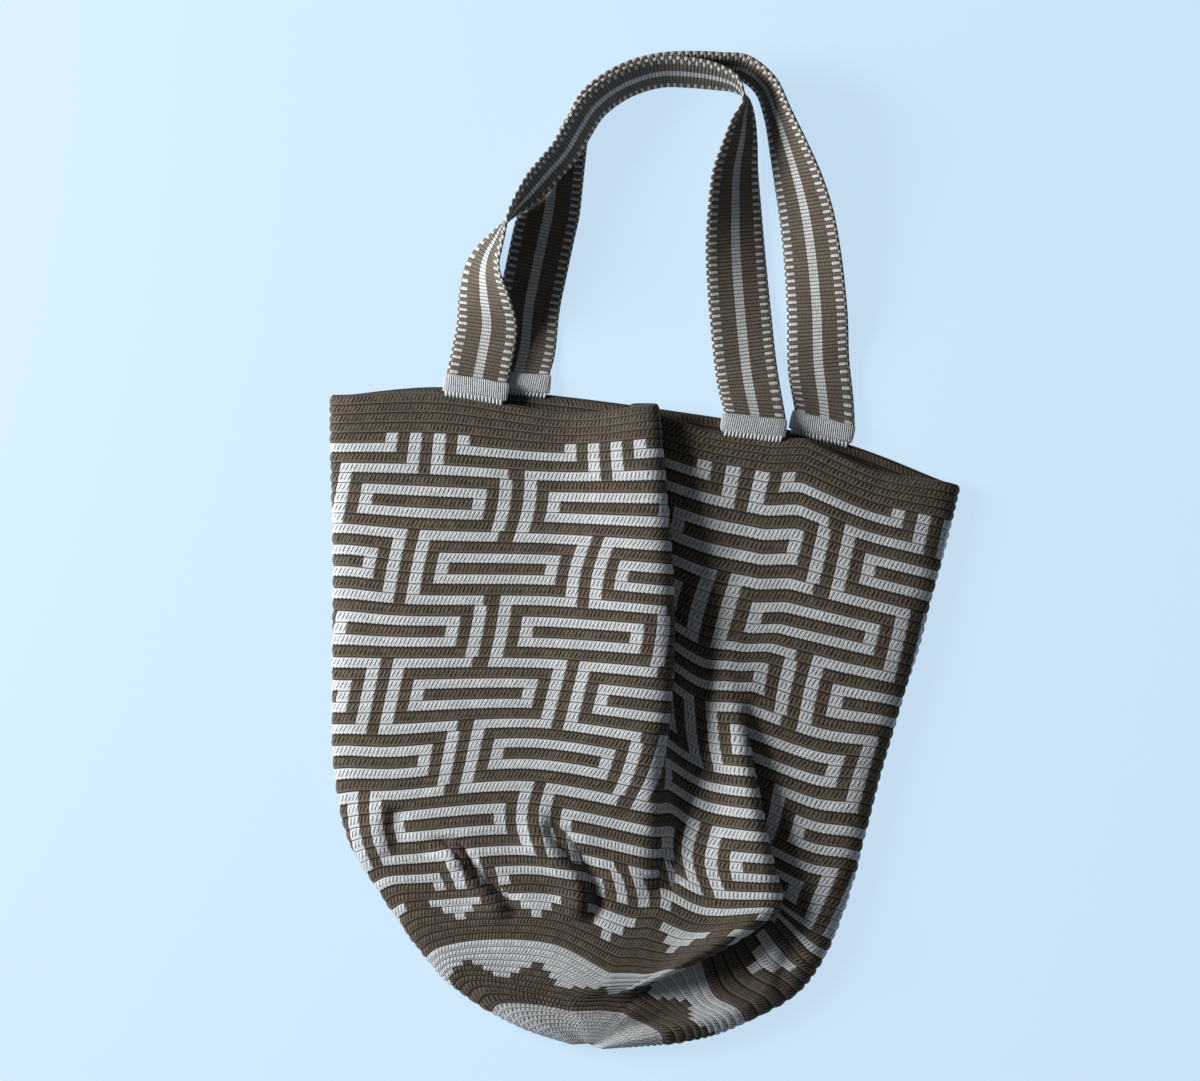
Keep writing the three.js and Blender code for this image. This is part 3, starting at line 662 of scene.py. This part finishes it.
# Across the strap, in millimetres from an edge: where its faces part.
BEAD = 1.2
DASH = 6.2
STRIPE_EDGE = 15.3
EDGE_PARTS = [0, 0.5, BEAD, 3.6, DASH, 9.2, 12.2, STRIPE_EDGE]
ACROSS = np.array(EDGE_PARTS + [STRAP_WIDTH - part for part in EDGE_PARTS[::-1]])
ACROSS_SAMPLES = 73
EDGE_THIN = 0.35

# Along the strap.
RIB = 2.1
RIB_RISE = 0.32
RIB_EDGE = 0.2
RIB_SLACK = 0.001
SECTIONS_PER_RIB = 4
PATH_SAMPLES = 4000
END_SECTIONS = 17
END_GAUGE = 9.0


def strap_section(foot, flat_way, flat, width, along, s):
    """Upper and lower points across the strap, with a rib's rise at s."""
    turn = flat * (STRAP_WIDTH + 2 * BEND) - BEND
    fine = np.linspace(0, STRAP_WIDTH, ACROSS_SAMPLES)
    mix = smooth(np.clip((fine - turn + BEND / 2) / BEND, 0, 1))
    way = unit(flat_way * (1 - mix[:, None]) + width * mix[:, None])
    steps = (way[1:] + way[:-1]) / 2 * (fine[1] - fine[0])
    line = foot + np.concatenate([np.zeros((1, 3)), np.cumsum(steps, 0)])
    p = np.stack([np.interp(ACROSS, fine, line[:, k]) for k in range(3)], 1)
    d = np.stack([np.interp(ACROSS, fine, way[:, k]) for k in range(3)], 1)
    normal = unit(np.cross(along, d))
    edge = np.minimum(ACROSS, STRAP_WIDTH - ACROSS)
    half = STRAP_THICKNESS / 2 * np.clip(EDGE_THIN + (1 - EDGE_THIN) * edge / BEAD, 0, 1)
    rib = math.sin(math.pi * s / RIB) ** 2 - 0.5
    half = half + RIB_RISE * rib * np.clip(edge / BEAD, RIB_EDGE, 1)
    upper, lower = p + normal * half[:, None], p - normal * half[:, None]
    return np.concatenate([upper, lower[::-1]])


def strap_sections(stations, first, last, inward):
    """Sections every quarter rib: straight ends inside the wraps, and the path between them."""
    t = np.linspace(0, 1, PATH_SAMPLES)
    foot, along, flat_way, width, flat = strap_frames(stations, first, last, inward, t)
    flat = np.minimum(flat, 1)[:, None]
    middle = foot + (flat_way * flat + width * (1 - flat)) * STRAP_WIDTH / 2
    run = np.concatenate([[0], np.cumsum(np.linalg.norm(np.diff(middle, axis=0), axis=1))])
    steps = int(run[-1] / (RIB / SECTIONS_PER_RIB))
    s_at = np.linspace(0, run[-1], steps + 1)
    frames = strap_frames(stations, first, last, inward, np.interp(s_at, run, t))
    sections, lengths = [], []

    def add_end(end, s, along, total):
        sections.append(strap_section(end.at(s), end.width, 0, end.width, along, total))
        lengths.append(total)

    for s in np.linspace(0, LEAD, END_SECTIONS)[:-1]:
        add_end(first, s, first.away, s)
    for i in range(steps + 1):
        foot, along, flat_way, width, flat = (f[i] for f in frames)
        sections.append(strap_section(foot, flat_way, flat, width, along, LEAD + s_at[i]))
        lengths.append(LEAD + s_at[i])
    total = LEAD + run[-1]
    for s in np.linspace(LEAD, 0, END_SECTIONS)[1:]:
        add_end(last, s, -last.away, total + LEAD - s)
    return np.array(sections), np.array(lengths)


def tube_faces(rings, count):
    """Quads of a lofted tube, with its two ends closed."""
    faces = ring_quads(rings, count)[2].tolist()
    faces.append(list(range(count))[::-1])
    faces.append([(rings - 1) * count + k for k in range(count)])
    return faces


def build_strap(name, node, stations, first, last, inward, material):
    """One handle of ribbed webbing, and its length."""
    sections, lengths = strap_sections(stations, first, last, inward)
    rings, count = sections.shape[:2]
    piece = new_object(name, sections.reshape(-1, 3), tube_faces(rings, count), material)
    ring, k, _ = ring_quads(rings, count)
    w = np.concatenate([ACROSS, ACROSS[::-1]])
    wa, wb = w[k], w[(k + 1) % count]
    sa, sb = lengths[ring], lengths[ring + 1]
    ends = np.full((2 * count, 2), END_GAUGE)
    set_uv(piece.data, np.concatenate([corner_uv(wa, wb, sa, sb), ends]))
    across, along = (wa + wb) / 2, (sa + sb) / 2
    rib = np.floor(along / RIB + RIB_SLACK)
    edge = np.minimum(across, STRAP_WIDTH - across)
    stripe = edge > STRIPE_EDGE
    dash = (edge < DASH) & (edge > BEAD) & (rib % 2 == 0)
    bead = (edge < BEAD) & (rib % 2 == 1)
    set_face_value(piece.data, "pale", np.concatenate([(stripe | dash | bead) * 1.0, np.zeros(2)]))
    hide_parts(node)
    return piece, float(lengths[-1])


# Wraps: a puffed sleeve of strands over each strap end.
WRAP_YARN = 1.25
WRAP_OVER = 2.2
WRAP_SKIN = 0.5
WRAP_SIDE = 0.4
WRAP_FACE_POINTS = 140
WRAP_RINGS = 11
WRAP_SQUARE, WRAP_CORNER = 3.4, 0.18
PUFF_LEAST, PUFF_RISE, PUFF_ROUND = 0.3, 1.2, 0.6
PUFF_FROM, PUFF_SPAN = 0.06, 0.88
STRAND_LEAN = 1.2
STRAND_ROUND = 0.7
STRAND_RISE, STRAND_MIDDLE = 0.55, 0.6
RAGGED, RAGGED_RATE = 0.25, 5.3


def build_wrap(name, node, end, material):
    """Yarn sewn over a strap end side by side: a puffed sleeve with one ridge for each strand."""
    half_t, half_w = STRAP_THICKNESS / 2 + WRAP_SKIN, STRAP_WIDTH / 2 + WRAP_SIDE
    face = np.linspace(1, -1, WRAP_FACE_POINTS, endpoint=False)
    across = np.concatenate([face, -face])
    thin = np.maximum(1 - np.abs(across) ** WRAP_SQUARE, 0) ** WRAP_CORNER
    over = thin * np.repeat([1.0, -1.0], len(face))
    rings, hollows = [], []
    for share in np.linspace(0, 1, WRAP_RINGS):
        s = -WRAP_OVER + share * (WRAP_LENGTH + WRAP_OVER)
        bulge = math.sin(math.pi * (PUFF_FROM + PUFF_SPAN * share)) ** PUFF_ROUND
        puff = PUFF_LEAST + PUFF_RISE * bulge
        a = across * (half_w + 0.5 * puff)
        strand = np.abs(np.sin(math.pi * (a + STRAND_LEAN * share) / WRAP_YARN)) ** STRAND_ROUND
        b = over * (half_t + puff + STRAND_RISE * (strand - STRAND_MIDDLE))
        ragged = RAGGED * np.sin(a * RAGGED_RATE) * (2 * share - 1)
        # The hollow value marks where painted shade darkens the yarn between strands.
        hollows.append(1 - strand)
        rings.append([end.at(s + u, STRAP_WIDTH / 2 + x, y) for x, y, u in zip(a, b, ragged)])
    rings = np.array(rings)
    piece = new_object(name, rings.reshape(-1, 3), tube_faces(*rings.shape[:2]), material)
    set_face_value(piece.data, "hollow", np.concatenate([np.ravel(hollows[:-1]), np.zeros(2)]))
    orient_out(piece)
    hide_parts(node)
    return piece


def orient_out(piece):
    """Turns a closed piece's faces outwards."""
    mesh = piece.data
    volume = 0.0
    for face in mesh.polygons:
        corner = mesh.vertices[face.vertices[0]].co
        volume += face.area * face.normal.dot(corner)
    if volume < 0:
        mesh.flip_normals()


# Seams: one wound yarn at each strap end.
SEAM_STITCHES = 16
SEAM_STEPS = 14
SEAM_YARN = 0.85
SEAM_SIDES = 8
SEAM_MARGIN = 0.03
SEAM_LEAST = 0.6
SEAM_BITE = 0.8
SEAM_RISE = 1.0
BEND_STEPS = 4
BEND_TILT = 0.013


def yarn_rings(path, radius):
    """Rings of a round yarn along a path."""
    path = np.asarray(path, float)
    along = unit(np.gradient(path, axis=0))
    bend = unit(np.roll(along, -BEND_STEPS, 0) - np.roll(along, BEND_STEPS, 0))
    side = unit(np.cross(along, bend + BEND_TILT))
    over = np.cross(side, along)
    angles = np.linspace(0, 2 * math.pi, SEAM_SIDES, endpoint=False)[None, :, None]
    ring = np.cos(angles) * side[:, None] + np.sin(angles) * over[:, None]
    return path[:, None] + ring * radius


def build_seam(name, node, end, material):
    """Whip stitches: one yarn that winds round the edge of the mouth and the end of the strap."""
    turns = np.linspace(0, SEAM_STITCHES, SEAM_STITCHES * SEAM_STEPS + 1)
    rise = STRAP_THICKNESS / 2 + SEAM_RISE
    path = []
    for turn in turns:
        share = SEAM_MARGIN + (1 - 2 * SEAM_MARGIN) * turn / SEAM_STITCHES
        strap = end.at(-WRAP_OVER, share * STRAP_WIDTH)
        edge = end.edge(share)
        gap = max((strap - edge) @ end.away, SEAM_LEAST)
        reach = gap / 2 + SEAM_BITE
        angle = 2 * math.pi * turn
        point = (strap + edge) / 2 + end.away * reach * math.cos(angle) + UP * rise * math.sin(angle)
        point[2] = max(point[2], SEAM_YARN + GROUND_GAP)
        path.append(point)
    rings = yarn_rings(path, SEAM_YARN)
    piece = new_object(name, rings.reshape(-1, 3), tube_faces(*rings.shape[:2]), material)
    orient_out(piece)
    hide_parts(node)
    return piece


def node_tree(name):
    material = bpy.data.materials.new(name)
    material.use_nodes = True
    return material, material.node_tree


class Nodes:
    """Short calls that add shader nodes and link them."""

    def __init__(self, tree):
        self.tree = tree

    def add(self, kind, **inputs):
        node = self.tree.nodes.new(kind)
        for key, value in inputs.items():
            self.put(node.inputs[int(key[1:]) if key[1:].isdigit() else key], value)
        return node

    def put(self, socket, value):
        if isinstance(value, bpy.types.NodeSocket):
            self.tree.links.new(value, socket)
        else:
            socket.default_value = value

    def math(self, operation, a, b=0.0, c=0.0):
        node = self.add("ShaderNodeMath", i0=a, i1=b, i2=c)
        node.operation = operation
        return node.outputs[0]

    def ramp(self, value, low, high, to_low=0.0, to_high=1.0):
        node = self.add("ShaderNodeMapRange", i0=value, i1=low, i2=high, i3=to_low, i4=to_high)
        node.interpolation_type = "SMOOTHSTEP"
        return node.outputs[0]

    def mix(self, share, a, b):
        node = self.tree.nodes.new("ShaderNodeMix")
        node.data_type = "RGBA"
        self.put(node.inputs["Factor"], share)
        self.put(node.inputs[6], a)
        self.put(node.inputs[7], b)
        return node.outputs[2]

    def attribute(self, name):
        node = self.tree.nodes.new("ShaderNodeAttribute")
        node.attribute_name = name
        return node.outputs["Fac"]

    def gauge(self):
        uv = self.tree.nodes.new("ShaderNodeUVMap")
        uv.uv_map = "gauge"
        parts = self.add("ShaderNodeSeparateXYZ", i0=uv.outputs[0])
        return parts.outputs[0], parts.outputs[1]

    def noise(self, scale, detail=2.0):
        place = self.tree.nodes.new("ShaderNodeTexCoord").outputs["Object"]
        node = self.add("ShaderNodeTexNoise", Vector=place, Scale=scale, Detail=detail)
        return node.outputs["Fac"]

    def from_middle(self, value):
        """Distance from the middle of each whole step of a value."""
        return self.math("ABSOLUTE", self.math("SUBTRACT", self.math("FRACT", value), 0.5))

    def finish(self, colour, height, depth):
        shader = self.tree.nodes["Principled BSDF"]
        bump = self.add("ShaderNodeBump", Strength=1.0, Distance=depth, Height=height)
        self.put(shader.inputs["Base Color"], colour)
        self.put(shader.inputs["Normal"], bump.outputs[0])
        for name, value in COTTON.items():
            shader.inputs[name].default_value = value


# Cotton, the same on every piece.
COTTON = {"Roughness": 0.92, "Specular IOR Level": 0.15, "Sheen Weight": 0.12, "Sheen Roughness": 0.6}

# Crochet yarn on top, and the same yarn in painted shade between stitches and rounds, which the random
# mottle also mixes in.
BROWN = (0.156, 0.126, 0.092, 1)
BROWN_SHADE_AND_MOTTLE = (0.007, 0.005, 0.0035, 1)
PALE = (0.615, 0.645, 0.675, 1)
PALE_SHADE_AND_MOTTLE = (0.12, 0.125, 0.14, 1)

# Crochet marks, in shares of a stitch and of a round: where slits and grooves start and end, and how deep
# they are and how dark their painted shade is.
SLANT = 0.8
WOBBLE, WOBBLE_SCALE = 0.5, 260.0
PALE_MARKS = {
    "slit": (0.07, 0.27), "opens": (0.12, 0.24), "closes": (0.60, 0.80),
    "noise": (190.0, 2.0), "uneven": (0.30, 0.55, 0.45, 1.0),
    "groove_low": (0.0, 0.08), "groove_high": (0.93, 1.0),
    "slit_depth_and_shade": 0.68, "groove_depth_and_shade": 0.75,
}
BROWN_MARKS = {
    "slit": (0.16, 0.44), "opens": (0.04, 0.2), "closes": (0.66, 0.94),
    "noise": (210.0, 3.0), "uneven": (0.35, 0.6, 0.55, 1.0),
    "groove_low": (0.02, 0.26), "groove_high": (0.84, 1.0),
    "slit_depth_and_shade": 0.9, "groove_depth_and_shade": 0.97,
}
TEETH_FROM, TEETH_SLOPE = 0.80, 0.3
MOTTLE_NOISE = (90.0, 4.0)
MOTTLE = (0.3, 0.7, 0.0, 0.35)
PALE_MOTTLE = 0.5
FUZZ, FUZZ_SCALE = 0.35, 900.0
CROCHET_BUMP = 0.0011


def slit_distance(n, stitch, across_round):
    """Distance from the slit between two leaning stitches, as a share of a stitch."""
    slanted = n.math("ADD", stitch, n.math("MULTIPLY", across_round, SLANT))
    wobble = n.math("MULTIPLY", n.noise(WOBBLE_SCALE), WOBBLE)
    return n.from_middle(n.math("ADD", slanted, wobble))


def yarn_depth_and_shade(n, from_slit, across_round, marks):
    """How deep the yarn lies, and so how dark its painted shade is: slits between stitches, and grooves
    between rounds.
    """
    opens = n.ramp(across_round, *marks["opens"])
    closes = n.ramp(across_round, *marks["closes"], 1.0, 0.0)
    uneven = n.ramp(n.noise(*marks["noise"]), *marks["uneven"])
    gate = n.math("MULTIPLY", n.math("MULTIPLY", opens, closes), uneven)
    slit = n.math("MULTIPLY", n.ramp(from_slit, *marks["slit"], 1.0, 0.0), gate)
    slit = n.math("MULTIPLY", slit, marks["slit_depth_and_shade"])
    low = n.ramp(across_round, *marks["groove_low"], 1.0, 0.0)
    high = n.ramp(across_round, *marks["groove_high"])
    groove = n.math("MULTIPLY", n.math("MAXIMUM", low, high), marks["groove_depth_and_shade"])
    return n.math("MAXIMUM", slit, groove)


def pale_share(n, from_slit, across_round):
    """1 on pale stitches, with a toothed lower edge where a brown round follows."""
    teeth = n.math("MULTIPLY_ADD", from_slit, TEETH_SLOPE, TEETH_FROM)
    below = n.math("GREATER_THAN", across_round, teeth)
    here, following = n.attribute("pale"), n.attribute("pale_below")
    loss = n.math("MINIMUM", n.math("SUBTRACT", following, here), 0.0)
    return n.math("ADD", here, n.math("MULTIPLY", below, loss))


def crochet_material():
    """Rounds of slanted stitches in two colours."""
    material, tree = node_tree("crochet")
    n = Nodes(tree)
    stitch, rounds = n.gauge()
    across_round = n.math("FRACT", rounds)
    from_slit = slit_distance(n, stitch, across_round)
    depth = yarn_depth_and_shade(n, from_slit, across_round, PALE_MARKS)
    deep = yarn_depth_and_shade(n, from_slit, across_round, BROWN_MARKS)
    mottle = n.ramp(n.noise(*MOTTLE_NOISE), *MOTTLE)
    # Painted shade: each yarn turns to its shaded colour in the slits and grooves, and the random mottle
    # darkens it a little more.
    brown = n.mix(n.math("MAXIMUM", deep, mottle), BROWN, BROWN_SHADE_AND_MOTTLE)
    faint = n.math("MULTIPLY", mottle, PALE_MOTTLE)
    grey = n.mix(n.math("MAXIMUM", depth, faint), PALE, PALE_SHADE_AND_MOTTLE)
    fuzz = n.math("MULTIPLY", n.noise(FUZZ_SCALE), FUZZ)
    pale = pale_share(n, from_slit, across_round)
    n.finish(n.mix(pale, brown, grey), n.math("SUBTRACT", fuzz, depth), CROCHET_BUMP)
    return material


# Webbing yarn and its colour in painted shade, and its grooves in shares of a rib and of a warp thread.
STRAP_BROWN = (0.165, 0.138, 0.105, 1)
STRAP_BROWN_SHADE_AND_MOTTLE = (0.012, 0.009, 0.007, 1)
STRAP_PALE = (0.68, 0.70, 0.71, 1)
STRAP_PALE_SHADE_AND_MOTTLE = (0.13, 0.13, 0.13, 1)
RIB_GROOVE = (0.28, 0.5)
WARP = 1.5
WARP_GROOVE = (0.3, 0.5, 0.0, 0.5)
GROOVE_SHADE = 0.8
STRAP_NOISE = (120.0, 3.0)
STRAP_MOTTLE = (0.3, 0.7, 0.0, 0.3)
STRAP_FUZZ, STRAP_FUZZ_SCALE = 0.4, 800.0
STRAP_BUMP = 0.0005


def webbing_material():
    """Ribbed webbing with a pale stripe, pale dashes and a beaded selvedge."""
    material, tree = node_tree("webbing")
    n = Nodes(tree)
    across, along = n.gauge()
    groove = n.ramp(n.from_middle(n.math("DIVIDE", along, RIB)), *RIB_GROOVE)
    thread = n.ramp(n.from_middle(n.math("DIVIDE", across, WARP)), *WARP_GROOVE)
    depth = n.math("MAXIMUM", groove, thread)
    mottle = n.ramp(n.noise(*STRAP_NOISE), *STRAP_MOTTLE)
    # Painted shade in the grooves between ribs and between warp threads, mixed with a random mottle.
    shade = n.math("MAXIMUM", n.math("MULTIPLY", depth, GROOVE_SHADE), mottle)
    brown = n.mix(shade, STRAP_BROWN, STRAP_BROWN_SHADE_AND_MOTTLE)
    grey = n.mix(shade, STRAP_PALE, STRAP_PALE_SHADE_AND_MOTTLE)
    fuzz = n.math("MULTIPLY", n.noise(STRAP_FUZZ_SCALE), STRAP_FUZZ)
    n.finish(n.mix(n.attribute("pale"), brown, grey), n.math("SUBTRACT", fuzz, depth), STRAP_BUMP)
    return material


# Yarn of the wraps and seams, and the share of its colour left in painted shade and fuzz.
YARN_GREY = (0.66, 0.69, 0.73, 1)
YARN_SHADE_AND_FUZZ = 0.2
YARN_NOISE = (700.0, 3.0)
YARN_FUZZ = (0.3, 0.7)
FUZZ_SHADE, HOLLOW_SHADE = 0.25, 0.8
YARN_BUMP = 0.0002


def yarn_material(name):
    """Pale grey yarn, with painted shade in the hollows between strands, and darker at random by its fuzz.
    """
    material, tree = node_tree(name)
    n = Nodes(tree)
    fuzz = n.noise(*YARN_NOISE)
    deep = tuple(YARN_SHADE_AND_FUZZ * c for c in YARN_GREY[:3]) + (1,)
    hollow = n.math("MULTIPLY", n.attribute("hollow"), HOLLOW_SHADE)
    shade = n.math("MULTIPLY_ADD", n.ramp(fuzz, *YARN_FUZZ), FUZZ_SHADE, hollow)
    n.finish(n.mix(shade, YARN_GREY, deep), fuzz, YARN_BUMP)
    return material


FLOOR_REACH = 6.0
FLOOR = {
    "Base Color": (0.09, 0.12, 0.15, 1), "Roughness": 0.9,
    "Emission Color": (0.545, 0.70, 0.85, 1), "Emission Strength": 1.0,
}


def build_floor():
    """A plain pale floor."""
    mesh = bpy.data.meshes.new("floor")
    corners = [(x * FLOOR_REACH, y * FLOOR_REACH, 0) for x, y in ((-1, -1), (1, -1), (1, 1), (-1, 1))]
    mesh.from_pydata(corners, [], [(0, 1, 2, 3)])
    material, tree = node_tree("floor")
    shader = tree.nodes["Principled BSDF"]
    for name, value in FLOOR.items():
        shader.inputs[name].default_value = value
    mesh.materials.append(material)
    floor = bpy.data.objects.new("floor", mesh)
    bpy.context.scene.collection.objects.link(floor)


KEY_PLACE = (-1.35, 0.38, 0.66)
KEY_POWER = 41.0
KEY_SIZE = 0.7
KEY_COLOUR = (1.0, 0.98, 0.95)
SKY_COLOUR = (0.90, 0.95, 1.0, 1)
SKY_STRENGTH = 0.105


def build_light():
    """A soft window light from the upper left under an even sky."""
    world = bpy.data.worlds.new("studio")
    bpy.context.scene.world = world
    world.use_nodes = True
    background = world.node_tree.nodes["Background"]
    background.inputs["Color"].default_value = SKY_COLOUR
    background.inputs["Strength"].default_value = SKY_STRENGTH
    data = bpy.data.lights.new("key", "AREA")
    data.energy = KEY_POWER
    data.size = KEY_SIZE
    data.color = KEY_COLOUR
    lamp = bpy.data.objects.new("key", data)
    lamp.location = KEY_PLACE
    lamp.rotation_euler = Vector(KEY_PLACE).to_track_quat("Z", "Y").to_euler()
    bpy.context.scene.collection.objects.link(lamp)


PHOTO_WIDTH, PHOTO_HEIGHT = 1200, 1081
PHOTO_MM = 0.58
SENSOR = 36
VIEW_MIDDLE = (-26.0, 5.5)
VIEW_DISTANCE = 4.0


def build_camera():
    """Straight down over the middle of the picture."""
    data = bpy.data.cameras.new("camera")
    data.sensor_width = SENSOR
    data.lens = SENSOR * VIEW_DISTANCE / (PHOTO_WIDTH * PHOTO_MM * MM)
    camera = bpy.data.objects.new("camera", data)
    camera.location = (VIEW_MIDDLE[0] * MM, VIEW_MIDDLE[1] * MM, VIEW_DISTANCE)
    bpy.context.scene.collection.objects.link(camera)
    bpy.context.scene.camera = camera
    bpy.context.scene.render.resolution_x = PHOTO_WIDTH
    bpy.context.scene.render.resolution_y = PHOTO_HEIGHT


def build_bag():
    """All pieces of the bag; the lengths of the straps are worked out but not kept."""
    webbing = webbing_material()
    wrap_yarn, seam_yarn = yarn_material("wrap_yarn"), yarn_material("seam_yarn")
    body = build_body(crochet_material())
    ends = {
        "front_left": SewnEnd(FRONT_FEET[0], 1, FRONT_LEFT),
        "front_right": SewnEnd(FRONT_FEET[1], -1, FRONT_RIGHT),
        "rear_left": SewnEnd(REAR_FEET[0], -1, BACK),
        "rear_right": SewnEnd(REAR_FEET[1], 1, BACK),
    }
    front, front_length = build_strap(
        "front_webbing", "front_strap", FRONT_STATIONS, ends["front_left"], ends["front_right"], 1, webbing)
    rear, rear_length = build_strap(
        "rear_webbing", "rear_strap", REAR_STATIONS, ends["rear_left"], ends["rear_right"], -1, webbing)
    for piece in (front, rear):
        orient_out(piece)
    for spot, end in ends.items():
        build_wrap(spot + "_yarn_wrap", spot + "_wrap", end, wrap_yarn)
        build_seam(spot + "_whip_stitch", spot + "_seam", end, seam_yarn)


def main():
    build_bag()
    build_floor()
    build_light()
    build_camera()
    bpy.context.scene.view_settings.view_transform = "Standard"


main()
